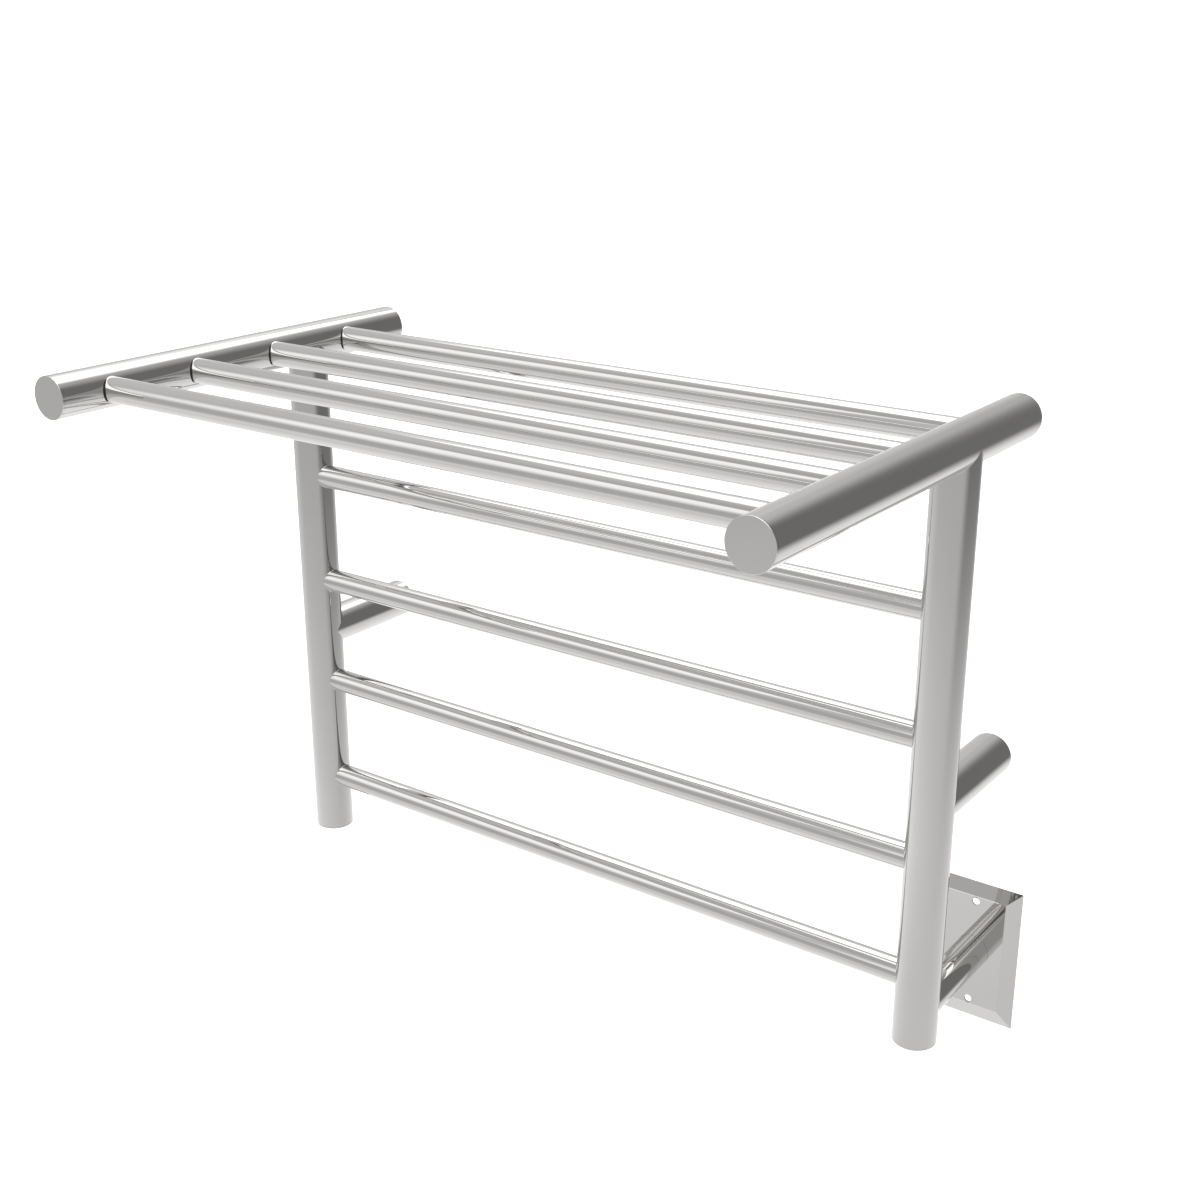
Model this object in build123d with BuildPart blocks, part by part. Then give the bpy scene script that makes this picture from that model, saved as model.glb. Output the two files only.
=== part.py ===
"""Wall-mounted, hard-wired towel warmer rack with a four-bar shelf over a four-rung ladder.

Frame: +Z up, +X to the right of someone facing the wall, +Y into the wall. The origin is on the wall,
at the centre of the four wall screws. All sizes are in millimetres.
"""

import os

from build123d import *

# ---- driving dimensions ----

TUBE_D = 31.75  # uprights, headers and standoffs
TUBE_WALL = 1.2
BAR_D = 19.05  # rungs and shelf bars
BAR_WALL = 1.0
ARM_D = 25.4  # wiring arm
ARM_WALL = 1.2

SPAN = 572.0  # between the axes of the two uprights
UPRIGHT_TO_WALL = 97.5  # axis of the uprights to the wall
HEADER_LENGTH = 348.5  # wall to the headers' front faces
HEADER_RISE = 435.0  # foot of the uprights to the headers' axis
STANDOFF_RISE = 186.5  # foot of the uprights to the standoffs' axis
ARM_RISE = 25.0  # foot of the uprights to the wiring arm's axis

RUNG_RISE = 50.0  # foot of the uprights to the lowest rung
RUNG_PITCH = 91.5
SHELF_SETBACK = 45.0  # headers' front faces to the front shelf bar
SHELF_PITCH = 79.75
BAR_COUNT = 4  # rungs, and shelf bars

CAP_THICKNESS = 1.5
CAP_SPIGOT = 5.0
SLIP = 0.05  # radial gap of a spigot or plug in its tube
WELD_GAP = 0.02  # gap at a saddle joint, which the weld fills
BAR_ENTRY = 5.4  # how far a bar reaches into the tube that holds it

PLATE_WIDTH = 69.85
PLATE_HEIGHT = 114.3
PLATE_DEPTH = 3.0
PLATE_BEVEL = 11.1
PLATE_SHEET = 1.0
PLATE_EDGE_R = 0.8
PLATE_ARM_GAP = 0.4
BOX_SCREW_PITCH = 83.34
BOX_SCREW_HOLE_D = 5.6

PLUG_LENGTH = 14.0
PLUG_CHAMFER = 1.0
WALL_SCREW_HOLE_D = 5.2
WALL_SCREW_HEAD_D = 10.4
GRUB_D = 4.2  # thread as a plain cylinder at its core
GRUB_LENGTH = 8.0
GRUB_KEY = 2.5  # hexagon socket, across flats
GRUB_KEY_DEPTH = 2.5
GRUB_HOLE_D = 5.2
GRUB_TO_WALL = 8.0
GRUB_SINK = 0.4  # the screw's outer end, below the tube's surface

CABLE_D = 4.0
CABLE_BEND = 15.0
CABLE_ARM_DROP = 6.0  # cable below the wiring arm's axis
CABLE_HOLE_D = 14.0
CABLE_TAIL = 40.0  # cable's far end, short of the right header's axis
SEAL_D = 6.0
SEAL_LENGTH = 14.0
JOINT_D = 9.6
JOINT_LENGTH = 22.0
JOINT_TO_WALL = 40.0
LEAD_D = 2.2
LEAD_SPREAD = 2.4  # live and neutral leads, each side of the arm's axis
LIMITER_D = 4.0
LIMITER_LENGTH = 12.0
LIMITER_TO_WALL = 22.0
BUSH_LENGTH = 10.0
EARTH_LEAD_LIFT = 8.0  # earth lead above the wiring arm's axis
TAB_WIDTH = 6.0
TAB_THICKNESS = 0.8
TAB_LENGTH = 12.0
BARREL_D = 4.0
BARREL_LENGTH = 6.0
RING_SECTION_D = 1.8
RUNNING_GAP = 0.05  # radial gap of the grip ring on the wiring arm

# ---- places worked out from them ----

TUBE_R = TUBE_D / 2
TUBE_BORE = TUBE_R - TUBE_WALL
BAR_R = BAR_D / 2
ARM_R = ARM_D / 2
ARM_BORE = ARM_R - ARM_WALL

HEADER_Z = (HEADER_RISE - STANDOFF_RISE) / 2
STANDOFF_Z = -HEADER_Z
FOOT_Z = HEADER_Z - HEADER_RISE
ARM_Z = FOOT_Z + ARM_RISE
UPRIGHT_Y = -UPRIGHT_TO_WALL
RIGHT_X = SPAN / 2
SIDES = {"left": -RIGHT_X, "right": RIGHT_X}

# rung_1 is the highest, shelf_bar_1 the front one
RUNG_Z = [FOOT_Z + RUNG_RISE + (BAR_COUNT - 1 - i) * RUNG_PITCH for i in range(BAR_COUNT)]
SHELF_Y = [-HEADER_LENGTH + SHELF_SETBACK + i * SHELF_PITCH for i in range(BAR_COUNT)]
BARS = {f"rung_{i + 1}": (UPRIGHT_Y, z) for i, z in enumerate(RUNG_Z)}
BARS |= {f"shelf_bar_{i + 1}": (y, HEADER_Z) for i, y in enumerate(SHELF_Y)}
BAR_END_X = RIGHT_X - TUBE_R + BAR_ENTRY

ALONG_Y = (90, 0, 0)
ALONG_X = (0, 90, 0)

os.makedirs("parts", exist_ok=True)


def wall_plane(x, z, y=0.0):
    """A plane parallel to the wall, seen from the room, whose extrusions come out into the room."""
    return Plane(origin=(x, y, z), x_dir=(1, 0, 0), z_dir=(0, -1, 0))


# ---- uprights: round tubes, saddle-cut under the headers, holed for the rungs and the cable ----

for side, x in SIDES.items():
    inward = -x / abs(x)
    with BuildPart() as upright:
        with BuildSketch(Plane((x, UPRIGHT_Y, FOOT_Z + CAP_THICKNESS))):
            Circle(TUBE_R)
            Circle(TUBE_BORE, mode=Mode.SUBTRACT)
        extrude(amount=HEADER_RISE - CAP_THICKNESS)
        with Locations(Location((x, UPRIGHT_Y, HEADER_Z), ALONG_Y)):
            Cylinder(TUBE_R + WELD_GAP, 2 * TUBE_D, mode=Mode.SUBTRACT)
        with Locations([Location((x + inward * TUBE_R / 2, UPRIGHT_Y, z), ALONG_X) for z in RUNG_Z]):
            Cylinder(BAR_R, TUBE_R, mode=Mode.SUBTRACT)
        if side == "right":
            with Locations(Location((x, UPRIGHT_Y + TUBE_R / 2, ARM_Z - CABLE_ARM_DROP), ALONG_Y)):
                Cylinder(CABLE_D, TUBE_R, mode=Mode.SUBTRACT)
    upright.part.label = f"{side}_upright"
    export_step(upright.part, f"parts/{side}_upright.step")

# ---- headers: round tubes from the wall to the front, holed for the shelf bars and the cable ----

for side, x in SIDES.items():
    inward = -x / abs(x)
    with BuildPart() as header:
        with BuildSketch(wall_plane(x, HEADER_Z)):
            Circle(TUBE_R)
            Circle(TUBE_BORE, mode=Mode.SUBTRACT)
        extrude(amount=HEADER_LENGTH - CAP_THICKNESS)
        with Locations([Location((x + inward * TUBE_R / 2, y, HEADER_Z), ALONG_X) for y in SHELF_Y]):
            Cylinder(BAR_R, TUBE_R, mode=Mode.SUBTRACT)
        with Locations((x, UPRIGHT_Y, HEADER_Z - TUBE_R / 2)):
            Cylinder(CABLE_HOLE_D / 2, TUBE_R, mode=Mode.SUBTRACT)
        with Locations((x, -GRUB_TO_WALL, HEADER_Z - TUBE_R / 2)):
            Cylinder(GRUB_HOLE_D / 2, TUBE_R, mode=Mode.SUBTRACT)
    header.part.label = f"{side}_header"
    export_step(header.part, f"parts/{side}_header.step")

# ---- end caps: discs flush with the tube, on a hollow spigot that sits in the bore ----

CAP_PLANES = {}
for side, x in SIDES.items():
    CAP_PLANES[f"{side}_header_cap"] = Plane((x, -HEADER_LENGTH, HEADER_Z), z_dir=(0, 1, 0))
    CAP_PLANES[f"{side}_upright_cap"] = Plane((x, UPRIGHT_Y, FOOT_Z))

for name, plane in CAP_PLANES.items():
    with BuildPart() as cap:
        with BuildSketch(plane):
            Circle(TUBE_R)
        extrude(amount=CAP_THICKNESS)
        with BuildSketch(plane.offset(CAP_THICKNESS)):
            Circle(TUBE_BORE - SLIP)
            Circle(TUBE_BORE - SLIP - TUBE_WALL, mode=Mode.SUBTRACT)
        extrude(amount=CAP_SPIGOT)
    cap.part.label = name
    export_step(cap.part, f"parts/{name}.step")

# ---- rungs and shelf bars: thinner round tubes, both ends let into the uprights or headers ----

for name, (y, z) in BARS.items():
    with BuildPart() as bar:
        with BuildSketch(Plane((-BAR_END_X, y, z), x_dir=(0, 1, 0), z_dir=(1, 0, 0))):
            Circle(BAR_R)
            Circle(BAR_R - BAR_WALL, mode=Mode.SUBTRACT)
        extrude(amount=2 * BAR_END_X)
    bar.part.label = name
    export_step(bar.part, f"parts/{name}.step")

# ---- standoffs: short tubes from the wall to the uprights, saddle-cut at the front ----

for side, x in SIDES.items():
    with BuildPart() as standoff:
        with BuildSketch(wall_plane(x, STANDOFF_Z)):
            Circle(TUBE_R)
            Circle(TUBE_BORE, mode=Mode.SUBTRACT)
        extrude(amount=UPRIGHT_TO_WALL)
        with Locations((x, UPRIGHT_Y, STANDOFF_Z)):
            Cylinder(TUBE_R + WELD_GAP, 2 * TUBE_D, mode=Mode.SUBTRACT)
        with Locations((x, -GRUB_TO_WALL, STANDOFF_Z - TUBE_R / 2)):
            Cylinder(GRUB_HOLE_D / 2, TUBE_R, mode=Mode.SUBTRACT)
    standoff.part.label = f"{side}_standoff"
    export_step(standoff.part, f"parts/{side}_standoff.step")

# ---- wiring arm: the tube that carries the supply leads from the wall box to the right upright ----

with BuildPart() as wiring_arm:
    with BuildSketch(wall_plane(RIGHT_X, ARM_Z)):
        Circle(ARM_R)
        Circle(ARM_BORE, mode=Mode.SUBTRACT)
    extrude(amount=UPRIGHT_TO_WALL)
    with Locations((RIGHT_X, UPRIGHT_Y, ARM_Z)):
        Cylinder(TUBE_R + WELD_GAP, 2 * TUBE_D, mode=Mode.SUBTRACT)
wiring_arm.part.label = "wiring_arm"
export_step(wiring_arm.part, "parts/wiring_arm.step")

# ---- cover plate: a bevelled sheet dish that slides on the wiring arm and covers the wall box ----


def bevelled_block(width, height, depth):
    """A low block on the wall, centred on the wiring arm, whose four sloping sides meet in mitres."""
    bevel = PLATE_BEVEL * depth / PLATE_DEPTH
    with BuildPart() as block:
        for plane, across, along in (
            (Plane((RIGHT_X, 0, ARM_Z), x_dir=(1, 0, 0), z_dir=(0, 0, 1)), width, height),
            (Plane((RIGHT_X, 0, ARM_Z), x_dir=(0, 0, -1), z_dir=(1, 0, 0)), height, width),
        ):
            with BuildSketch(plane):
                with BuildLine():
                    Polyline(
                        (-across / 2, 0),
                        (across / 2, 0),
                        (across / 2 - bevel, -depth),
                        (bevel - across / 2, -depth),
                        close=True,
                    )
                make_face()
            extrude(amount=along / 2, both=True, mode=Mode.INTERSECT if block.part else Mode.ADD)
    return block.part


PLATE_RIM = 2 * PLATE_BEVEL * PLATE_SHEET / PLATE_DEPTH
plate_outside = bevelled_block(PLATE_WIDTH, PLATE_HEIGHT, PLATE_DEPTH)
plate_inside = bevelled_block(PLATE_WIDTH - PLATE_RIM, PLATE_HEIGHT - PLATE_RIM, PLATE_DEPTH - PLATE_SHEET)

with BuildPart() as cover_plate:
    add(plate_outside)
    fillet(cover_plate.faces().sort_by(Axis.Y)[0].edges(), radius=PLATE_EDGE_R)
    add(plate_inside, mode=Mode.SUBTRACT)
    with BuildSketch(wall_plane(RIGHT_X, ARM_Z)):
        Circle(ARM_R + PLATE_ARM_GAP)
        with GridLocations(0, BOX_SCREW_PITCH, 1, 2):
            Circle(BOX_SCREW_HOLE_D / 2)
    extrude(amount=PLATE_DEPTH, mode=Mode.SUBTRACT)
cover_plate.part.label = "cover_plate"
export_step(cover_plate.part, "parts/cover_plate.step")

# ---- plate grip ring: a rubber ring behind the plate, whose grip holds it where it is slid to ----

RING_R = ARM_R + RUNNING_GAP + RING_SECTION_D / 2
RING_Y = PLATE_SHEET - PLATE_DEPTH + RING_SECTION_D / 2
with BuildPart() as plate_grip_ring:
    with Locations(Location((RIGHT_X, RING_Y, ARM_Z), ALONG_Y)):
        Torus(RING_R, RING_SECTION_D / 2)
plate_grip_ring.part.label = "plate_grip_ring"
export_step(plate_grip_ring.part, "parts/plate_grip_ring.step")

# ---- wall brackets: round plugs screwed to the wall, over which the tubes' rear ends slide ----

WALL_POINTS = {}
for side, x in SIDES.items():
    WALL_POINTS[f"upper_{side}_bracket"] = (x, HEADER_Z)
    WALL_POINTS[f"lower_{side}_bracket"] = (x, STANDOFF_Z)

for name, (x, z) in WALL_POINTS.items():
    with BuildPart() as bracket:
        with BuildSketch(wall_plane(x, z)):
            Circle(TUBE_BORE - SLIP)
        extrude(amount=PLUG_LENGTH)
        chamfer(bracket.faces().sort_by(Axis.Y)[0].edges(), length=PLUG_CHAMFER)
        with Locations(wall_plane(x, z, -PLUG_LENGTH)):
            CounterSinkHole(WALL_SCREW_HOLE_D / 2, WALL_SCREW_HEAD_D / 2)
        with BuildSketch(Plane((x, -GRUB_TO_WALL, z - TUBE_BORE))):
            Circle(GRUB_D / 2)
        extrude(amount=GRUB_LENGTH, mode=Mode.SUBTRACT)
    bracket.part.label = name
    export_step(bracket.part, f"parts/{name}.step")

# ---- set screws: one under each wall end, through the tube into its plug ----

with BuildPart() as set_screws:
    for x, z in WALL_POINTS.values():
        outer_end = Plane((x, -GRUB_TO_WALL, z - TUBE_R + GRUB_SINK))
        with BuildSketch(outer_end):
            Circle(GRUB_D / 2)
        extrude(amount=GRUB_LENGTH)
        with BuildSketch(outer_end):
            RegularPolygon(GRUB_KEY / 2, 6, major_radius=False)
        extrude(amount=GRUB_KEY_DEPTH, mode=Mode.SUBTRACT)
set_screws.part.label = "set_screws"
export_step(set_screws.part, "parts/set_screws.step")

# ---- heating cable: one twin-core cable through the arm, the ladder and then the shelf ----

CABLE_ARM_Z = ARM_Z - CABLE_ARM_DROP
JOINT_FRONT_Y = -JOINT_TO_WALL - JOINT_LENGTH

# it crosses every rung from the lowest up, and every shelf bar from the rear one forward
route = [(RIGHT_X, JOINT_FRONT_Y, CABLE_ARM_Z), (RIGHT_X, UPRIGHT_Y, CABLE_ARM_Z)]
crossings = [(UPRIGHT_Y, z) for z in reversed(RUNG_Z)] + [(y, HEADER_Z) for y in reversed(SHELF_Y)]
start_x = RIGHT_X
for number, (y, z) in enumerate(crossings):
    if number == BAR_COUNT:
        route.append((start_x, UPRIGHT_Y, HEADER_Z))
    route += [(start_x, y, z), (-start_x, y, z)]
    start_x = -start_x
route[-1] = (RIGHT_X - CABLE_TAIL, SHELF_Y[0], HEADER_Z)

with BuildPart() as heating_cable:
    with BuildLine():
        cable_line = FilletPolyline(*route, radius=CABLE_BEND)
    with BuildSketch(Plane(origin=cable_line @ 0, z_dir=cable_line % 0)):
        Circle(CABLE_D / 2)
    sweep(path=cable_line)
heating_cable.part.label = "heating_cable"
export_step(heating_cable.part, "parts/heating_cable.step")
print(f"heating cable: {cable_line.length:.0f} mm long, bends of {CABLE_BEND:.0f} mm")

with BuildPart() as cable_end_seal:
    with BuildSketch(Plane(route[-1], x_dir=(0, 1, 0), z_dir=(1, 0, 0))):
        Circle(SEAL_D / 2)
    extrude(amount=SEAL_LENGTH)
    fillet(cable_end_seal.faces().sort_by(Axis.X)[-1].edges(), radius=SEAL_D / 4)
cable_end_seal.part.label = "cable_end_seal"
export_step(cable_end_seal.part, "parts/cable_end_seal.step")

# ---- wiring: potted joint, leads, thermal limiter, earth tab and bush, all inside the wiring arm ----

LEAD_PLACES = {
    "live_lead": (RIGHT_X - LEAD_SPREAD, CABLE_ARM_Z),
    "neutral_lead": (RIGHT_X + LEAD_SPREAD, CABLE_ARM_Z),
    "earth_lead": (RIGHT_X, ARM_Z + EARTH_LEAD_LIFT),
}

with BuildPart() as cable_joint:
    with BuildSketch(wall_plane(RIGHT_X, CABLE_ARM_Z, -JOINT_TO_WALL)):
        Circle(JOINT_D / 2)
    extrude(amount=JOINT_LENGTH)
    chamfer(cable_joint.faces().filter_by(Axis.Y).edges(), length=1.0)
cable_joint.part.label = "cable_joint"
export_step(cable_joint.part, "parts/cable_joint.step")

live_x, live_z = LEAD_PLACES["live_lead"]
with BuildPart() as thermal_limiter:
    with BuildSketch(wall_plane(live_x, live_z, -LIMITER_TO_WALL)):
        Circle(LIMITER_D / 2)
    extrude(amount=LIMITER_LENGTH)
    fillet(thermal_limiter.faces().filter_by(Axis.Y).edges(), radius=0.6)
thermal_limiter.part.label = "thermal_limiter"
export_step(thermal_limiter.part, "parts/thermal_limiter.step")

LEAD_RUNS = {
    "live_lead": [(0.0, LIMITER_TO_WALL), (LIMITER_TO_WALL + LIMITER_LENGTH, JOINT_TO_WALL)],
    "neutral_lead": [(0.0, JOINT_TO_WALL)],
    "earth_lead": [(0.0, LIMITER_TO_WALL)],
}
for name, (x, z) in LEAD_PLACES.items():
    with BuildPart() as lead:
        for near, far in LEAD_RUNS[name]:
            with BuildSketch(wall_plane(x, z, -near)):
                Circle(LEAD_D / 2)
            extrude(amount=far - near)
    lead.part.label = name
    export_step(lead.part, f"parts/{name}.step")

# the tab's two upper edges touch the arm's bore, where it is brazed
TAB_TOP_Z = ARM_Z + (ARM_BORE**2 - (TAB_WIDTH / 2) ** 2) ** 0.5
BARREL_END_Y = -LIMITER_TO_WALL - BARREL_LENGTH
with BuildPart() as earth_tab:
    with BuildSketch(wall_plane(RIGHT_X, ARM_Z + EARTH_LEAD_LIFT, -LIMITER_TO_WALL)):
        Circle(BARREL_D / 2)
    extrude(amount=BARREL_LENGTH)
    with BuildSketch(wall_plane(RIGHT_X, TAB_TOP_Z - TAB_THICKNESS / 2, BARREL_END_Y)):
        Rectangle(TAB_WIDTH, TAB_THICKNESS)
    extrude(amount=TAB_LENGTH)
    with BuildSketch(wall_plane(RIGHT_X, ARM_Z + EARTH_LEAD_LIFT, BARREL_END_Y)):
        Rectangle(BARREL_D / 2, 2 * (TAB_TOP_Z - ARM_Z - EARTH_LEAD_LIFT))
    extrude(amount=TAB_THICKNESS)
earth_tab.part.label = "earth_tab"
export_step(earth_tab.part, "parts/earth_tab.step")

with BuildPart() as lead_bush:
    with BuildSketch(wall_plane(RIGHT_X, ARM_Z)):
        Circle(ARM_BORE)
        with Locations([(x - RIGHT_X, z - ARM_Z) for x, z in LEAD_PLACES.values()]):
            Circle(LEAD_D / 2, mode=Mode.SUBTRACT)
    extrude(amount=BUSH_LENGTH)
lead_bush.part.label = "lead_bush"
export_step(lead_bush.part, "parts/lead_bush.step")
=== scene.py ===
"""Towel warmer rack in mirror-polished stainless steel, on a plain white studio floor.

Frame: metres, +Z up, +X to the right of someone facing the wall, +Y into the wall. The origin is on the wall,
at the centre of the four wall screws. The tubes, bars, caps, cover plate and welds are computed surfaces that
stand for the CAD nodes they follow. Brackets, screws, cable and leads keep their CAD meshes.
"""

import math

import bpy
import numpy as np
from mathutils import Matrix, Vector


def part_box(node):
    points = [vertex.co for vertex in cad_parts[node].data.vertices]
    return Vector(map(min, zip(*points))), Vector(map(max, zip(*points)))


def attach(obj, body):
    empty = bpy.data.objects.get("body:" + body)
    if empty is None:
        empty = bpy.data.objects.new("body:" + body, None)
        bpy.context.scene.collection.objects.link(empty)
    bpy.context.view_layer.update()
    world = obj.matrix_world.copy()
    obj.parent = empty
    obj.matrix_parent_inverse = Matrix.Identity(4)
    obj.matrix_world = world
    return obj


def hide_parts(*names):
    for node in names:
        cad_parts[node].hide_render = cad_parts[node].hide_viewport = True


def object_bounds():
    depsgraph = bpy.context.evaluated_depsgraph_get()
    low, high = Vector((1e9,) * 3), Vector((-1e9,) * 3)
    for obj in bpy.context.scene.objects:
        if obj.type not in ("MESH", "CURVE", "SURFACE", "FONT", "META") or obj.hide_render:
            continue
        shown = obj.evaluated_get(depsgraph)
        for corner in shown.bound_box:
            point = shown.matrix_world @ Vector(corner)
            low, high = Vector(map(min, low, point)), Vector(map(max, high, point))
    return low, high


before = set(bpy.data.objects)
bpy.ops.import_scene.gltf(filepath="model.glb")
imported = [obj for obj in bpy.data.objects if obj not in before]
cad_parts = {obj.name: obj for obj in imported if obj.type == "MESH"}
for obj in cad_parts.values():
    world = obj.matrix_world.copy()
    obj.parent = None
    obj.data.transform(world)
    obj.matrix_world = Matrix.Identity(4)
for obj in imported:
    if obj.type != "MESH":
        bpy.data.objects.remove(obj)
CAD_BOX = [list(corner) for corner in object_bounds()]

MM = 0.001
SIDES = ("left", "right")
BAR_NUMBERS = (1, 2, 3, 4)
RUNGS = [f"rung_{n}" for n in BAR_NUMBERS]
SHELF_BARS = [f"shelf_bar_{n}" for n in BAR_NUMBERS]
X, Y, Z = np.eye(3)


# ---- places read from the CAD frame ----


def middle(node):
    """Centre of a CAD node's box."""
    low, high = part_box(node)
    return np.array((low + high) / 2)


def extent(node):
    """Size of a CAD node's box."""
    low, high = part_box(node)
    return np.array(high - low)


TUBE_R = extent("left_upright")[0] / 2
BAR_R = extent("rung_1")[2] / 2
ARM_R = extent("wiring_arm")[0] / 2
UPRIGHT_Y = middle("left_upright")[1]
HEADER_Z = middle("left_header")[2]
STANDOFF_Z = middle("left_standoff")[2]
ARM_Z = middle("wiring_arm")[2]
FOOT_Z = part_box("left_upright_cap")[0].z
FRONT_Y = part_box("left_header_cap")[0].y
WALL_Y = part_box("left_header")[1].y
SIDE_X = {side: middle(f"{side}_upright")[0] for side in SIDES}

TUBE_WALL = 1.2 * MM
CAP_THICKNESS = 1.5 * MM
WELD_R = 0.3 * MM  # polished fillet where one tube meets another
EDGE_R = 0.35 * MM
MOUTH = 4 * EDGE_R  # length of the rounded mouth of a tube at the wall
BORE_DEPTH = 70 * MM  # how far in a wall tube's bore is made
ARC_STEPS = 10  # rows of points across a weld
ARC_REACH = 1.06  # a weld's arc runs this share of the way to the host, so no gap shows
ARC_LEAST = 1e-6  # keeps an arc that shrinks to nothing out of a division by zero
SEAM_R = 1.0 * MM  # widest part of the painted shadow in front of a shelf bar's joint
SEAM_LEAST = 0.05 * MM  # narrowest part of that painted shadow
SEAM_LIFT = 0.01 * MM  # the painted shadow stands this far off the steel
SEAM_FROM, SEAM_RUN = 0.38, 0.4  # where it opens, as the forward part of a direction round the bar
CAP_SEAM = 0.06 * MM  # groove between a cap and its tube
ROUND = 144  # faces round a tube
CAMERA_HEADING = 35.94  # degrees round from the front, towards +X
CAMERA_ELEVATION = 19.74  # degrees above level
CAMERA_PLACE = (0.6999, -1.0503, 0.3856)
FLOOR_DROP = 0.12  # the floor's distance below the rack
FLOOR_REACH = 40.0


# ---- meshes from whole arrays ----


def unit(vectors):
    """Vectors of length one."""
    return vectors / np.linalg.norm(vectors, axis=-1, keepdims=True)


def grid_piece(name, points, normals, closed=True, lids=()):
    """A mesh from a grid of points and their outward normals, both (rows, columns, 3).

    Each face joins a point to the next one along its row and in the next row. Closed rows join their last
    point to their first. lids lists the rows, 0 or -1, that are filled by one flat face. All faces are turned
    so that they agree with the normals.
    """
    rows, columns = points.shape[:2]
    index = np.arange(rows * columns).reshape(rows, columns)
    across = np.roll(index, -1, axis=1) if closed else index[:, 1:]
    index = index if closed else index[:, :-1]
    faces = np.stack([index[:-1], across[:-1], across[1:], index[1:]], axis=-1).reshape(-1, 4)
    flat, flat_normals = points.reshape(-1, 3), normals.reshape(-1, 3)
    diagonals = np.cross(flat[faces[:, 2]] - flat[faces[:, 0]], flat[faces[:, 3]] - flat[faces[:, 1]])
    if (diagonals * flat_normals[faces].mean(axis=1)).sum() < 0:
        faces = faces[:, ::-1]
    faces = faces.tolist()
    for row in lids:
        ring = points[row] - points[row].mean(axis=0)
        turn = np.cross(ring, np.roll(ring, -1, axis=0)).sum(axis=0) @ normals[row, 0]
        faces.append(index[row][:: 1 if turn > 0 else -1].tolist())
    mesh = bpy.data.meshes.new(name)
    mesh.from_pydata(flat.tolist(), [], faces)
    mesh.polygons.foreach_set("use_smooth", np.ones(len(faces), bool))
    mesh.normals_split_custom_set_from_vertices(flat_normals.tolist())
    piece = bpy.data.objects.new(name, mesh)
    bpy.context.scene.collection.objects.link(piece)
    return piece


def joined(name, parts):
    """One piece from several grid pieces."""
    with bpy.context.temp_override(active_object=parts[0], selected_editable_objects=parts):
        bpy.ops.object.join()
    parts[0].name = parts[0].data.name = name
    return parts[0]


def smooth_profile(corners, radii, steps=8):
    """A run of straight lines whose corners are rounded, as (points, normals) in the plane of the corners.

    Each rounded corner is an arc that touches both of its lines, at its radius times the tangent of half the
    turn from the corner. The normals point to the left of the way the profile runs.
    """
    corners = np.array(corners, float)
    along = unit(np.diff(corners, axis=0))
    turned = np.stack([-along[:, 1], along[:, 0]], axis=-1)
    points, normals = [corners[0]], [turned[0]]
    for corner, radius, before, after, left in zip(corners[1:-1], radii, along, along[1:], turned):
        turn = math.atan2(np.cross(before, after), before @ after)
        start = corner - before * radius * math.tan(abs(turn) / 2)
        centre = start + left * radius * math.copysign(1, turn)
        for angle in np.linspace(0, turn, steps + 1):
            spin = np.array([[math.cos(angle), -math.sin(angle)], [math.sin(angle), math.cos(angle)]])
            normals.append(spin @ left)
            points.append(centre - normals[-1] * radius * math.copysign(1, turn))
    return np.array(points + [corners[-1]]), np.array(normals + [turned[-1]])


def turned_piece(name, profile, foot, axis, lids=()):
    """A profile of (radius, distance along the axis) turned round an axis through the point foot."""
    points, normals = profile
    side = unit(np.cross(axis, X if abs(axis[0]) < 0.5 else Z))
    ahead = np.cross(axis, side)
    angle = np.linspace(0, 2 * math.pi, ROUND, endpoint=False)[None, :, None]
    spoke = np.cos(angle) * side + np.sin(angle) * ahead

    def swept(pair):
        return pair[:, None, :1] * spoke + pair[:, None, 1:] * axis

    return grid_piece(name, foot + swept(points), swept(normals), lids=lids)


# ---- where one tube runs into another ----


def saddle(radius, host_radius, weld):
    """Where a tube meets another square on, for each angle round the tube.

    A ball of the weld's radius that rolls in the corner keeps its centre at radius + weld from the tube's
    axis and at host_radius + weld from the host's. So its centre stands off the host's axis by the square
    root of (host_radius + weld)^2 - (sideways part of its place round the tube)^2.
    Returns the spokes round the tube as (side, host axis) pairs, and that distance.
    """
    angle = np.linspace(0, 2 * math.pi, ROUND, endpoint=False)
    spokes = np.stack([np.cos(angle), np.sin(angle)], axis=-1)
    sideways = (radius + weld) * spokes[:, 0]
    return spokes, np.sqrt(np.maximum((host_radius + weld) ** 2 - sideways**2, 0))


def branch_tube(name, radius, start, axis, length, host_radius, host_axis, ends):
    """A round tube whose far end, or both ends, run into a larger tube at the welds' edges.

    Its surface is start + (distance along) * axis + radius * spoke, where the distance runs from one end's
    edge to the other's. An end that meets a host stops at the centre of the weld's rolling ball.
    """
    spokes, reach = saddle(radius, host_radius, WELD_R)
    spoke = spokes[:, :1] * np.cross(axis, host_axis) + spokes[:, 1:] * host_axis
    first = reach if ends == "both" else np.zeros(ROUND)
    share = np.array([0, 0.25, 0.5, 0.75, 1])[:, None]
    along = first + share * (length - reach - first)
    points = start + along[..., None] * axis + radius * spoke
    return grid_piece(name, points, np.broadcast_to(spoke, points.shape))


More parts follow.
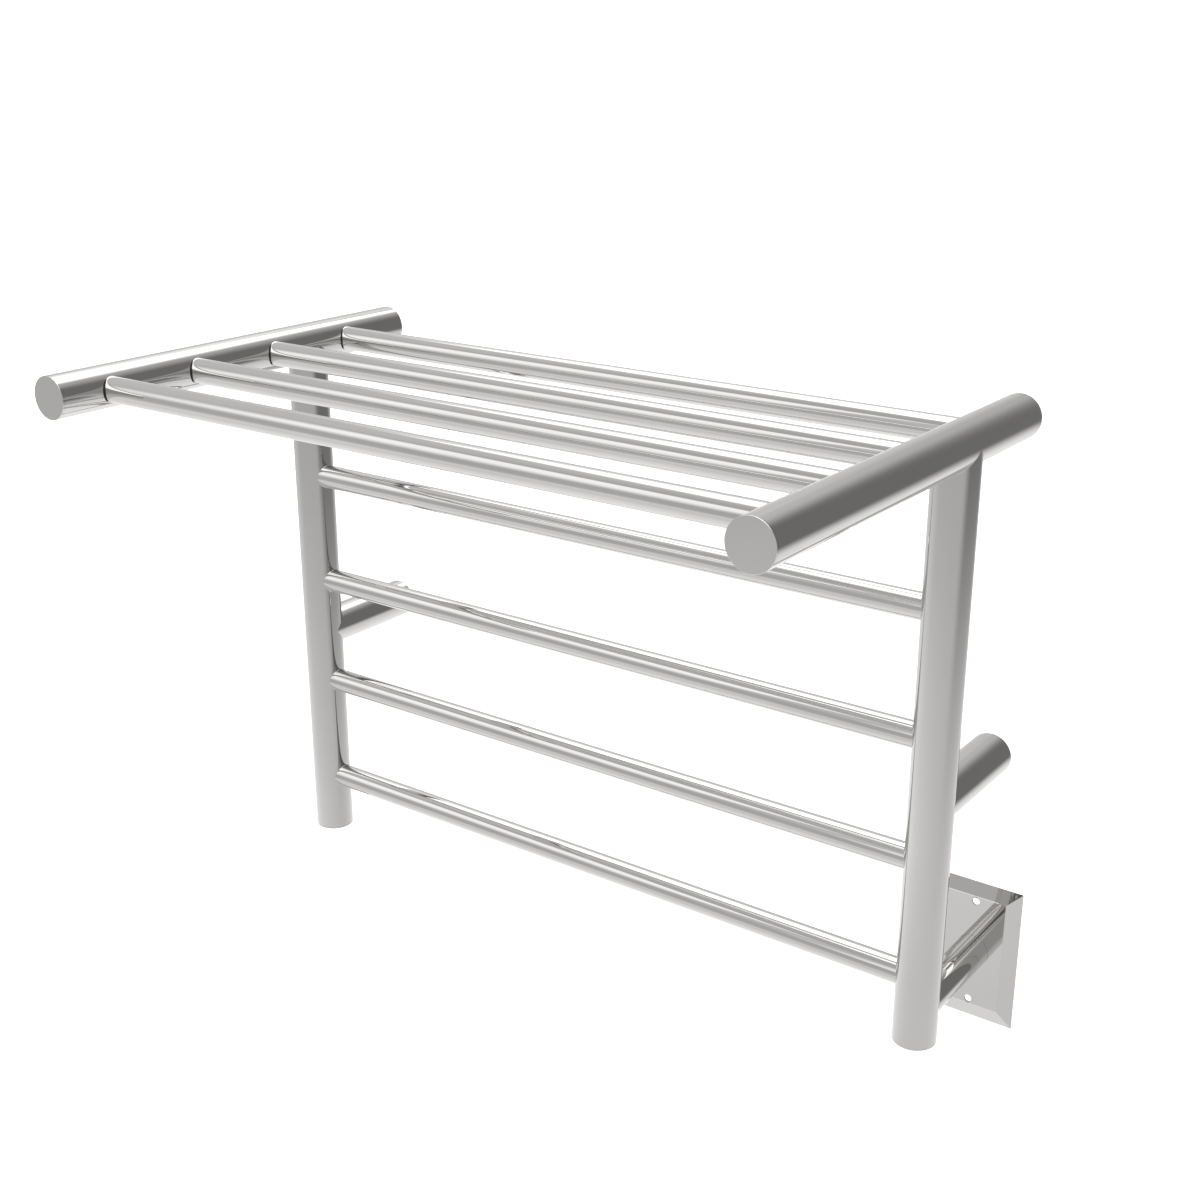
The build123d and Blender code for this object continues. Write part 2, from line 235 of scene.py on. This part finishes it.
def weld_ring(name, radius, at, axis, host_radius, host_axis, weld=WELD_R):
    """The fillet round a joint: the arc of a ball that rolls round it, touching both tubes.

    at is the point where the two axes cross, and axis points from there along the branch. For each angle the
    ball's centre is at + reach * axis + (radius + weld) * spoke. The arc runs from its contact with the
    branch, straight towards the branch's axis, to its contact with the host, straight towards the host's.
    weld is one radius or one for each angle.
    """
    weld = np.broadcast_to(weld, ROUND)
    spokes, reach = saddle(radius, host_radius, weld)
    spoke = spokes[:, :1] * np.cross(axis, host_axis) + spokes[:, 1:] * host_axis
    offset = reach[:, None] * axis + (radius + weld[:, None]) * spoke
    to_branch = -spoke
    to_host = -unit(offset - (offset @ host_axis)[:, None] * host_axis)
    share = np.linspace(0, ARC_REACH, ARC_STEPS)[:, None, None]
    arc = np.arccos(np.clip((to_branch * to_host).sum(-1), -1, 1))[None, :, None] + ARC_LEAST
    towards = (np.sin((1 - share) * arc) * to_branch + np.sin(share * arc) * to_host) / np.sin(arc)
    return grid_piece(name, at + offset + weld[:, None] * towards, -towards)


# ---- shader maths as Python expressions ----


class Wire:
    """A node's output socket, or a sum, product or blend of several, written like ordinary arithmetic."""

    def __init__(self, shader, socket):
        self.shader = shader
        self.socket = socket

    def maths(self, operation, *operands):
        """One Math node, whose operands are wires or numbers."""
        return self.shader.node("ShaderNodeMath", {"operation": operation}, dict(enumerate(operands)))

    def __add__(self, other):
        return self.maths("ADD", self, other)

    def __sub__(self, other):
        return self.maths("SUBTRACT", self, other)

    def __rsub__(self, other):
        return self.maths("SUBTRACT", other, self)

    def __mul__(self, other):
        return self.maths("MULTIPLY", self, other)

    def __truediv__(self, other):
        return self.maths("DIVIDE", self, other)

    __radd__ = __add__
    __rmul__ = __mul__

    def between(self, low, high):
        """Rises smoothly from 0 at low to 1 at high, and falls if high is the lower."""
        settings = {"interpolation_type": "SMOOTHSTEP", "clamp": True}
        if low > high:
            return 1 - self.between(high, low)
        return self.shader.node("ShaderNodeMapRange", settings, {"Value": self, 1: low, 2: high}, "Result")


class Shader:
    """A node tree that is filled by one node-making method."""

    def __init__(self, owner):
        owner.use_nodes = True
        self.tree = owner.node_tree
        self.tree.nodes.clear()

    def node(self, kind, settings=None, inputs=None, output=0):
        """Adds a node, applies its settings, then fills or links its inputs, and returns one output."""
        node = self.tree.nodes.new(kind)
        for key, value in (settings or {}).items():
            setattr(node, key, value)
        for key, value in (inputs or {}).items():
            if isinstance(value, Wire):
                self.tree.links.new(value.socket, node.inputs[key])
            else:
                node.inputs[key].default_value = value
        return Wire(self, node.outputs[output])

    def blend(self, share, first, second):
        """A colour that goes from first to second as share goes from 0 to 1."""
        inputs = {0: share, 6: first, 7: second}
        return self.node("ShaderNodeMix", {"data_type": "RGBA"}, inputs, 2)

    def place(self, stretch):
        """The point on the piece in metres, with each axis scaled to draw a pattern out."""
        spot = self.node("ShaderNodeTexCoord", output="Object")
        return self.node("ShaderNodeMapping", None, {"Vector": spot, "Scale": stretch})

    def noise(self, scale, detail=2.0, roughness=0.5, stretch=(1, 1, 1)):
        """A soft random pattern from 0 to 1, with the given number of blotches to the metre."""
        inputs = {"Vector": self.place(stretch), "Scale": scale, "Detail": detail, "Roughness": roughness}
        return self.node("ShaderNodeTexNoise", None, inputs)

    def surface(self, colour, metal, rough, relief, strength, depth):
        """Ends the tree in one shader, with a bump of the given strength and depth in metres."""
        heights = {"Strength": strength, "Distance": depth, "Height": relief}
        bump = self.node("ShaderNodeBump", None, heights, "Normal")
        inputs = {"Base Color": colour, "Metallic": metal, "Roughness": rough, "Normal": bump}
        self.finish(self.node("ShaderNodeBsdfPrincipled", None, inputs))

    def finish(self, surface):
        """Links a surface or background to the tree's output."""
        kind = "ShaderNodeOutputMaterial"
        if surface.socket.node.type == "BACKGROUND":
            kind = "ShaderNodeOutputWorld"
        output = self.tree.nodes.new(kind)
        self.tree.links.new(surface.socket, output.inputs["Surface"])


def grey(value):
    """A neutral grey."""
    return (value, value, value, 1.0)


def warm(value):
    """The faintly warm grey of stainless steel."""
    return (value * 1.016, value, value * 0.98, 1.0)


# ---- finishes ----


STEEL_TONE = 0.62
GRAIN = 300.0  # specks to the metre on a moulded or plated surface


def polished_steel(name, gloss=0.025, lines=(1, 1, 1)):
    """Mirror-polished stainless steel: a faint film and fine polishing lines vary its tone and gloss."""
    material = bpy.data.materials.new(name)
    shader = Shader(material)
    film = shader.noise(9.0, 3.0, 0.55)
    polish = shader.noise(900.0, 2.0, 0.5, lines)
    wave = shader.noise(22.0, 1.0, 0.4)
    mask = film.between(0.35, 0.7)
    colour = shader.blend(mask, warm(STEEL_TONE * 1.01), warm(STEEL_TONE * 0.985))
    rough = mask * 0.012 + polish * 0.014 + (gloss - 0.012)
    shader.surface(colour, 1.0, rough, wave + polish * 0.02, 0.03, 0.0004)
    return material


def plain_finish(name, colour, rough, metal=0.0):
    """A moulded or plated surface, or a near-black painted shadow: its tone, gloss and relief vary with a
    fine grain.
    """
    material = bpy.data.materials.new(name)
    shader = Shader(material)
    speck = shader.noise(GRAIN, 3.0, 0.6)
    cloud = shader.noise(GRAIN / 12, 2.0, 0.5)
    mask = cloud.between(0.3, 0.7)
    darker = tuple(0.86 * part for part in colour) + (1.0,)
    tone = shader.blend(mask, (*colour, 1.0), darker)
    shader.surface(tone, metal, rough + mask * 0.08, speck, 0.25, 0.0002)
    return material


ALONG_X, ALONG_Y, ALONG_Z = (0.04, 1, 1), (1, 0.04, 1), (1, 1, 0.04)
FINISH = {
    "header": polished_steel("header_polish", lines=ALONG_Y),
    "upright": polished_steel("upright_polish", lines=ALONG_Z),
    "bar": polished_steel("bar_polish", lines=ALONG_X),
    "cap": polished_steel("cap_polish", gloss=0.05),
    "plate": polished_steel("plate_polish", gloss=0.04),
    "weld": polished_steel("weld_polish", gloss=0.06),
    # dull sheared metal, made darker with painted shade in the hole walls
    "cut": plain_finish("sheared_edge_and_shade", (0.16, 0.16, 0.158), 0.5, 1.0),
    # near-black sheet laid over each shelf bar's joint: the painted shadow of an open seam
    "seam": plain_finish("seam_shadow", (0.012, 0.012, 0.012), 0.9),
    "bracket_steel": plain_finish("zinc_plate", (0.55, 0.56, 0.57), 0.35, 1.0),
    "screw_steel": plain_finish("screw_steel", (0.32, 0.32, 0.33), 0.4, 1.0),
    "cable_sheath": plain_finish("cable_sheath", (0.42, 0.06, 0.04), 0.5),
    "black_sleeve": plain_finish("black_sleeve", (0.02, 0.02, 0.02), 0.55),
    "limiter_case": plain_finish("limiter_case", (0.72, 0.70, 0.64), 0.4),
    "live_insulation": plain_finish("live_insulation", (0.02, 0.02, 0.02), 0.45),
    "neutral_insulation": plain_finish("neutral_insulation", (0.78, 0.78, 0.76), 0.45),
    "earth_insulation": plain_finish("earth_insulation", (0.05, 0.32, 0.08), 0.45),
    "tinned_brass": plain_finish("tinned_brass", (0.66, 0.64, 0.58), 0.3, 1.0),
    "black_rubber": plain_finish("black_rubber", (0.025, 0.025, 0.025), 0.7),
}


def dress(piece, finish, slot, body="rack", *nodes):
    """Gives a new piece its finish and the body it rides on, and hides the nodes it stands for; slot is not
    used.
    """
    piece.data.materials.clear()
    piece.data.materials.append(FINISH[finish])
    if nodes:
        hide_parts(*nodes)
    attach(piece, body)


def dress_cad_nodes():
    """Every CAD node gets the finish of its record slot, or the bars' polish where a piece stands for it."""
    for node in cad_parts.values():
        for place in node.material_slots:
            slot = place.material.name.split(".")[0]
            place.material = FINISH.get(slot, FINISH["bar"])


# ---- tubes, caps and bars ----


def open_tube(name, radius, foot, axis, length):
    """An open tube turned about its axis: its outside, its rounded open end, and nine tenths of its bore."""
    bore = radius - TUBE_WALL
    corners = [(radius, length), (radius, 0), (bore, 0), (bore, length * 0.9)]
    return turned_piece(name, smooth_profile(corners, (EDGE_R, EDGE_R)), foot, axis)


def make_headers():
    """The two tubes that run out from the wall at the top, each with a cap at its front."""
    for side in SIDES:
        wall_end = np.array([SIDE_X[side], WALL_Y, HEADER_Z])
        length = WALL_Y - FRONT_Y - CAP_THICKNESS - CAP_SEAM
        header = open_tube(f"{side}_header_tube", TUBE_R, wall_end, -Y, length)
        dress(header, "header", "tube_steel", "rack", f"{side}_header")
        face = np.array([SIDE_X[side], FRONT_Y, HEADER_Z])
        make_cap(f"{side}_header_end", face, Y, f"{side}_header_cap")


def make_cap(name, face, axis, node):
    """A disc with a rounded rim, flush with its tube, and a thin groove behind it where the two meet."""
    corners = [
        (TUBE_R - 2 * EDGE_R, 0.0),
        (TUBE_R, 0.0),
        (TUBE_R, CAP_THICKNESS),
        (TUBE_R - 2 * CAP_SEAM, CAP_THICKNESS + CAP_SEAM / 2),
        (TUBE_R - TUBE_WALL, CAP_THICKNESS + CAP_SEAM / 2),
    ]
    points, normals = smooth_profile(corners, (EDGE_R, CAP_SEAM / 3, CAP_SEAM / 3))
    cap = turned_piece(name, (points, -normals), face, axis, lids=(0, -1))
    dress(cap, "cap", "cap_steel", "rack", node)


def make_uprights():
    """The two vertical tubes, each capped at its foot and welded under its header."""
    for side in SIDES:
        foot = np.array([SIDE_X[side], UPRIGHT_Y, FOOT_Z + CAP_THICKNESS + CAP_SEAM])
        rise = HEADER_Z - foot[2]
        tube = branch_tube(f"{side}_upright_tube", TUBE_R, foot, Z, rise, TUBE_R, Y, "far")
        dress(tube, "upright", "tube_steel", "rack", f"{side}_upright")
        make_cap(f"{side}_upright_end", foot * [1, 1, 0] + FOOT_Z * Z, Z, f"{side}_upright_cap")
        crossing = np.array([SIDE_X[side], UPRIGHT_Y, HEADER_Z])
        weld = weld_ring(f"{side}_header_weld", TUBE_R, crossing, -Z, TUBE_R, Y)
        dress(weld, "weld", "tube_steel")


def make_wall_tubes():
    """The standoffs and the wiring arm: open at the wall, welded to the uprights at the front."""
    runs = [(f"{side}_standoff", SIDE_X[side], STANDOFF_Z, TUBE_R) for side in SIDES]
    runs.append(("wiring_arm", SIDE_X["right"], ARM_Z, ARM_R))
    for name, x, z, radius in runs:
        wall_end = np.array([x, WALL_Y, z])
        crossing = np.array([x, UPRIGHT_Y, z])
        start = wall_end - MOUTH * Y
        tube = branch_tube(f"{name}_front", radius, start, -Y, start[1] - UPRIGHT_Y, TUBE_R, Z, "far")
        mouth = open_tube(f"{name}_mouth", radius, wall_end, -Y, MOUTH)
        hollow = radius - TUBE_WALL
        wall = smooth_profile([(hollow, 3 * EDGE_R), (hollow, BORE_DEPTH)], ())
        bore = turned_piece(f"{name}_bore", wall, wall_end, -Y)
        whole = joined(f"{name}_tube", [tube, mouth, bore])
        dress(whole, "header", "tube_steel", "rack", name)
        weld = weld_ring(f"{name}_weld", radius, crossing, Y, TUBE_R, Z)
        dress(weld, "weld", "tube_steel")


def make_bars():
    """The rungs between the uprights and the shelf bars between the headers, welded at both ends."""
    for node in RUNGS + SHELF_BARS:
        host_axis = Z if node in RUNGS else Y
        left = middle(node) * [0, 1, 1] + SIDE_X["left"] * X
        span = SIDE_X["right"] - SIDE_X["left"]
        bar = branch_tube(f"{node}_tube", BAR_R, left, X, span, TUBE_R, host_axis, "both")
        dress(bar, "bar", "bar_steel", "rack", node)
        ends = [(left, X), (left + span * X, -X)]
        welds = [
            weld_ring(f"{node}_weld_{n}", BAR_R, at, way, TUBE_R, host_axis)
            for n, (at, way) in enumerate(ends)
        ]
        dress(joined(f"{node}_welds", welds), "weld", "bar_steel")
        if node in SHELF_BARS:
            # a near-black crescent painted at the front of each joint as the shadow of an open seam
            seam_shades = [seam_shade_crescent(f"{node}_seam_{n}", at, way) for n, (at, way) in enumerate(ends)]
            dress(joined(f"{node}_seams", seam_shades), "seam", "bar_steel")


def seam_shade_crescent(name, at, way):
    """A near-black crescent of painted shadow, for an open seam, over a shelf bar's weld: widest at the
    front, closed above and below the bar.

    Its ball radius is SEAM_R times a smooth step of the spoke's forward part, which starts at SEAM_FROM and
    is full SEAM_RUN further on.
    """
    spokes, _ = saddle(BAR_R, TUBE_R, SEAM_R)
    facing = np.clip((-spokes[:, 1] - SEAM_FROM) / SEAM_RUN, 0, 1)
    width = SEAM_R * facing * facing * (3 - 2 * facing)
    return weld_ring(name, BAR_R + SEAM_LIFT, at, way, TUBE_R + SEAM_LIFT, Y, width + SEAM_LEAST)


# ---- cover plate ----

PLATE = "cover_plate"
PLATE_SHEET = 1.0 * MM
PLATE_BEVEL = 11.1 * MM
PLATE_BORDER = 1.0 * MM  # from the top of the bevel to where the flat strips begin
PLATE_RIM_R = 0.01 * MM  # rounding of the outer edge at the wall
PLATE_INSIDE_R = 0.05 * MM  # rounding of the inner edge at the wall and of the bend behind the face
PLATE_LIP = 0.3 * MM  # the flat face stands this far above the slopes, on a rounded edge
LIP_RUN = 1.9 * PLATE_LIP  # the edge's width
SCREW_HOLE_R = 2.8 * MM
SCREW_HOLE_RISE = 41.67 * MM  # screw holes above and below the arm's axis
ARM_HOLE_R = ARM_R + 0.05 * MM
HOLE_EDGE_R = 0.06 * MM
HOLE_BORDER = 1.0 * MM  # flat ring round a hole
HOLE_CUT_R = SCREW_HOLE_R - 0.02 * MM  # the dark wall, dull sheared metal with painted shade, lies just inside the screw hole
HOLE_POINTS = 96
MIDDLE_STRIP = SCREW_HOLE_RISE - 12 * MM  # half height of the strip with the arm's hole


def make_plate():
    """The bevelled sheet dish on the wiring arm: four sloping sides round a flat face with three holes."""
    centre = middle(PLATE) * [1, 0, 1]
    low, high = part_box(PLATE)
    half_x, half_z, depth = (high.x - low.x) / 2, (high.z - low.z) / 2, high.y - low.y
    inner = PLATE_BEVEL * PLATE_SHEET / depth
    edge_in = PLATE_BEVEL + PLATE_BORDER
    flat_x, flat_z = half_x - edge_in, half_z - edge_in
    slope_top = depth - PLATE_LIP
    outside = [(edge_in, depth), (PLATE_BEVEL + LIP_RUN, depth), (PLATE_BEVEL, slope_top), (0, 0)]
    inside = [(inner, 0), (PLATE_BEVEL, depth - PLATE_SHEET), (edge_in, depth - PLATE_SHEET)]
    rounding = (PLATE_LIP / 2, PLATE_LIP / 2, PLATE_RIM_R, PLATE_INSIDE_R, PLATE_INSIDE_R)
    profile = smooth_profile(outside + inside, rounding)
    sides = [plate_side(f"plate_side_{n}", profile, centre, half_x, half_z, n) for n in range(4)]
    band = (flat_z - MIDDLE_STRIP) / 2
    strips = [(0, MIDDLE_STRIP, 0, ARM_HOLE_R)]
    strips += [(way * (flat_z - band), band, way * SCREW_HOLE_RISE, SCREW_HOLE_R) for way in (-1, 1)]
    flats = [plate_strip(f"plate_strip_{n}", centre, flat_x, depth, *strip) for n, strip in enumerate(strips)]
    plate = joined("cover_plate_sheet", sides + flats)
    dress(plate, "plate", "plate_steel", "plate", PLATE)

    # dark liners just inside the screw holes: dull sheared metal with painted shade
    wall = smooth_profile([(HOLE_CUT_R, HOLE_EDGE_R), (HOLE_CUT_R, PLATE_SHEET)], ())
    fronts = [centre + way * SCREW_HOLE_RISE * Z - depth * Y for way in (-1, 1)]
    cuts = [turned_piece(f"hole_cut_{n}", wall, front, Y) for n, front in enumerate(fronts)]
    dress(joined("cover_plate_hole_cuts", cuts), "cut", "plate_steel", "plate")


def plate_side(name, profile, centre, half_x, half_z, number):
    """One sloping side: the profile's (inset, height) run between its two mitres, where insets are equal."""
    out = (X, Z, -X, -Z)[number]
    reach, run = ((half_x, half_z), (half_z, half_x))[number % 2]
    along = np.cross(Y, out)
    points, normals = profile
    share = np.linspace(-1, 1, 9)[None, :, None]
    inset, height = points[:, None, :1], points[:, None, 1:]
    grid = centre + (reach - inset) * out + share * (run - inset) * along - height * Y
    tilt = -normals[:, None, :1] * out - normals[:, None, 1:] * Y
    return grid_piece(name, grid, np.broadcast_to(-tilt, grid.shape), closed=False)


def plate_strip(name, centre, half_x, depth, rise, half_z, hole_rise, hole):
    """A rectangle of the flat sheet with a round hole, from its back through the hole to its front.

    The border's points are spaced evenly in angle from the rectangle's middle, at the distance where that
    direction leaves the rectangle. Each flat row blends from the circle to the border.
    """
    angle = np.linspace(0, 2 * math.pi, HOLE_POINTS, endpoint=False) + math.pi / HOLE_POINTS
    corners = np.arctan2([half_z, half_z, -half_z, -half_z], [half_x, -half_x, -half_x, half_x])
    angle = np.sort(np.concatenate([angle, corners % (2 * math.pi)]))
    spoke = np.stack([np.cos(angle), np.sin(angle)], axis=-1)
    border = spoke / np.maximum(abs(spoke[:, 0]) / half_x, abs(spoke[:, 1]) / half_z)[:, None]
    border[:, 1] += rise
    hole_middle = np.array([0, hole_rise])
    around = unit(border - hole_middle)
    back = depth - PLATE_SHEET
    wide = hole + HOLE_BORDER
    edge = [(wide, back), (hole, back), (hole, depth), (wide, depth)]
    points, normals = smooth_profile(edge, (HOLE_EDGE_R, HOLE_EDGE_R), 4)
    ring = hole_middle + points[:, None, :1] * around
    height = np.broadcast_to(points[:, None, 1:], ring[..., :1].shape)
    tilt = np.concatenate([normals[:, None, :1] * around, height * 0 + normals[:, None, 1:]], axis=-1)
    share = np.array([0.3, 0.65, 1.0])[:, None, None]
    flat = ring[-1] * (1 - share) + border * share
    level = np.ones_like(flat[..., :1])
    ring = np.concatenate([flat[::-1], ring, flat])
    height = np.concatenate([level * back, height, level * depth])
    tilt = np.concatenate([level * [0, 0, -1.0], tilt, level * [0, 0, 1.0]])
    grid = centre + ring[..., :1] * X + ring[..., 1:] * Z - height * Y
    facing = tilt[..., :1] * X + tilt[..., 1:2] * Z - tilt[..., 2:] * Y
    return grid_piece(name, grid, facing)


# ---- studio ----


def white_paper():
    """Matt white paper that glows a little, as a lit backdrop does, with a barely visible mottle."""
    material = bpy.data.materials.new("white_paper")
    shader = Shader(material)
    tone = shader.blend(shader.noise(30.0), grey(0.94), grey(0.93))
    inputs = {"Base Color": tone, "Roughness": 0.9, "Emission Color": grey(1.0), "Emission Strength": 0.35}
    shader.finish(shader.node("ShaderNodeBsdfPrincipled", None, inputs))
    return material


def make_floor():
    """A plain white floor, far larger than the rack, below its lowest point."""
    signs = [(-1, -1), (1, -1), (1, 1), (-1, 1)]
    corners = [(x * FLOOR_REACH, y * FLOOR_REACH, CAD_BOX[0][2] - FLOOR_DROP) for x, y in signs]
    mesh = bpy.data.meshes.new("floor")
    mesh.from_pydata(corners, [], [(0, 1, 2, 3)])
    floor = bpy.data.objects.new("floor", mesh)
    bpy.context.scene.collection.objects.link(floor)
    floor.data.materials.append(white_paper())
    floor.visible_glossy = False


def make_light():
    """A white room with soft boxes, written on the direction that light comes from.

    Heading is the angle round from the front, -Y, towards +X, and wallward is the angle round from +X towards
    the wall. The box overhead lies square to the camera, so its edges are where the sideways and forward
    parts of the direction have a fixed ratio to its rise. The room's right side is dark towards the wall.
    """
    world = bpy.data.worlds.new("studio")
    bpy.context.scene.world = world
    sky = Shader(world)
    towards = sky.node("ShaderNodeTexCoord", output="Generated")
    x, y, height = (sky.node("ShaderNodeSeparateXYZ", None, {0: towards}, n) for n in range(3))
    heading = x.maths("ARCTAN2", x, y * -1)
    wallward = y.maths("ARCTAN2", y, x)
    rise = height.maths("MAXIMUM", height, 0.02)
    turn = math.radians(CAMERA_HEADING)
    sideways = (x * math.cos(turn) + y * math.sin(turn)) / rise
    forward = (y * math.cos(turn) - x * math.sin(turn)) / rise

    def span(low, high, soft_low, soft_high):
        """1 where the heading is between two angles in degrees, with soft edges."""
        edges = np.radians([low - soft_low, low + soft_low, high + soft_high, high - soft_high]).tolist()
        return heading.between(edges[0], edges[1]) * heading.between(edges[2], edges[3])

    def over(low, soft):
        """1 where the elevation is above an angle in degrees, with a soft edge."""
        return height.between(math.sin(math.radians(low - soft)), math.sin(math.radians(low + soft)))

    def band(low, high, soft_low, soft_high):
        """1 where the elevation is between two angles in degrees, with soft edges."""
        return over(low, soft_low) * (1 - over(high, soft_high))

    dark = wallward.between(math.radians(-32), math.radians(4))
    dark = dark * wallward.between(math.radians(102), math.radians(64))
    room = (0.58 + 0.16 * span(-160, -62, 8, 22)) * (1 - dark * (0.64 - 0.5 * over(50, 22)))
    rear_glow = band(30, 60, 12, 9) * span(-151, -127, 14, 5) * 0.7
    front_box = band(15, 38, 12, 1.5) * span(-58, -30, 8, 1.5) * 0.66
    front_glow = band(12, 38, 12, 3) * span(-60, -24, 12, 4) * 0.16
    low_box = band(11, 34, 3, 3) * span(-24, -8, 2, 2) * 0.6
    overhead = sideways.between(-0.57, -0.36) * sideways.between(0.74, 0.36)
    overhead = overhead * forward.between(1.16, 1.02) * forward.between(-1.8, -1.2) * over(20, 8)
    overhead_glow = sideways.between(0.1, 0.5) * sideways.between(1.7, 0.5) * over(32, 14) * 0.22
    room = room + rear_glow + front_box + front_glow + low_box + overhead * 1.9 + overhead_glow

    depth = 1 - over(-44, 20)
    glow = 0.5 + 0.5 * heading.maths("COSINE", heading + math.radians(148))
    near_left = 0.5 + 0.5 * heading.maths("COSINE", heading + math.radians(75))
    ground = 0.73 + 0.28 * depth + glow * glow * (0.30 - 0.10 * depth) + near_left * over(-31, 5) * 0.2
    level = room * over(-21, 9) + ground * (1 - over(-21, 9))
    seen = sky.node("ShaderNodeLightPath", output="Is Camera Ray")
    strength = level * (1 - seen) + seen * 1.05
    sky.finish(sky.node("ShaderNodeBackground", None, {"Color": grey(1.0), "Strength": strength}))


def make_camera():
    """A 50 mm lens on a 36 mm sensor, level, in front of the rack's right side and above it."""
    heading, elevation = math.radians(CAMERA_HEADING), math.radians(CAMERA_ELEVATION)
    level = math.cos(elevation)
    back = Vector((math.sin(heading) * level, -math.cos(heading) * level, math.sin(elevation)))
    lens = bpy.data.cameras.new("camera")
    lens.lens, lens.sensor_width = 50, 36
    lens.clip_start, lens.clip_end = 0.05, 100
    camera = bpy.data.objects.new("camera", lens)
    camera.location = CAMERA_PLACE
    camera.rotation_mode = "QUATERNION"
    camera.rotation_quaternion = (-back).to_track_quat("-Z", "Y")
    bpy.context.scene.collection.objects.link(camera)
    bpy.context.scene.camera = camera


dress_cad_nodes()
make_headers()
make_uprights()
make_wall_tubes()
make_bars()
make_plate()
make_floor()
make_light()
make_camera()
bpy.context.scene.view_settings.view_transform = "Standard"
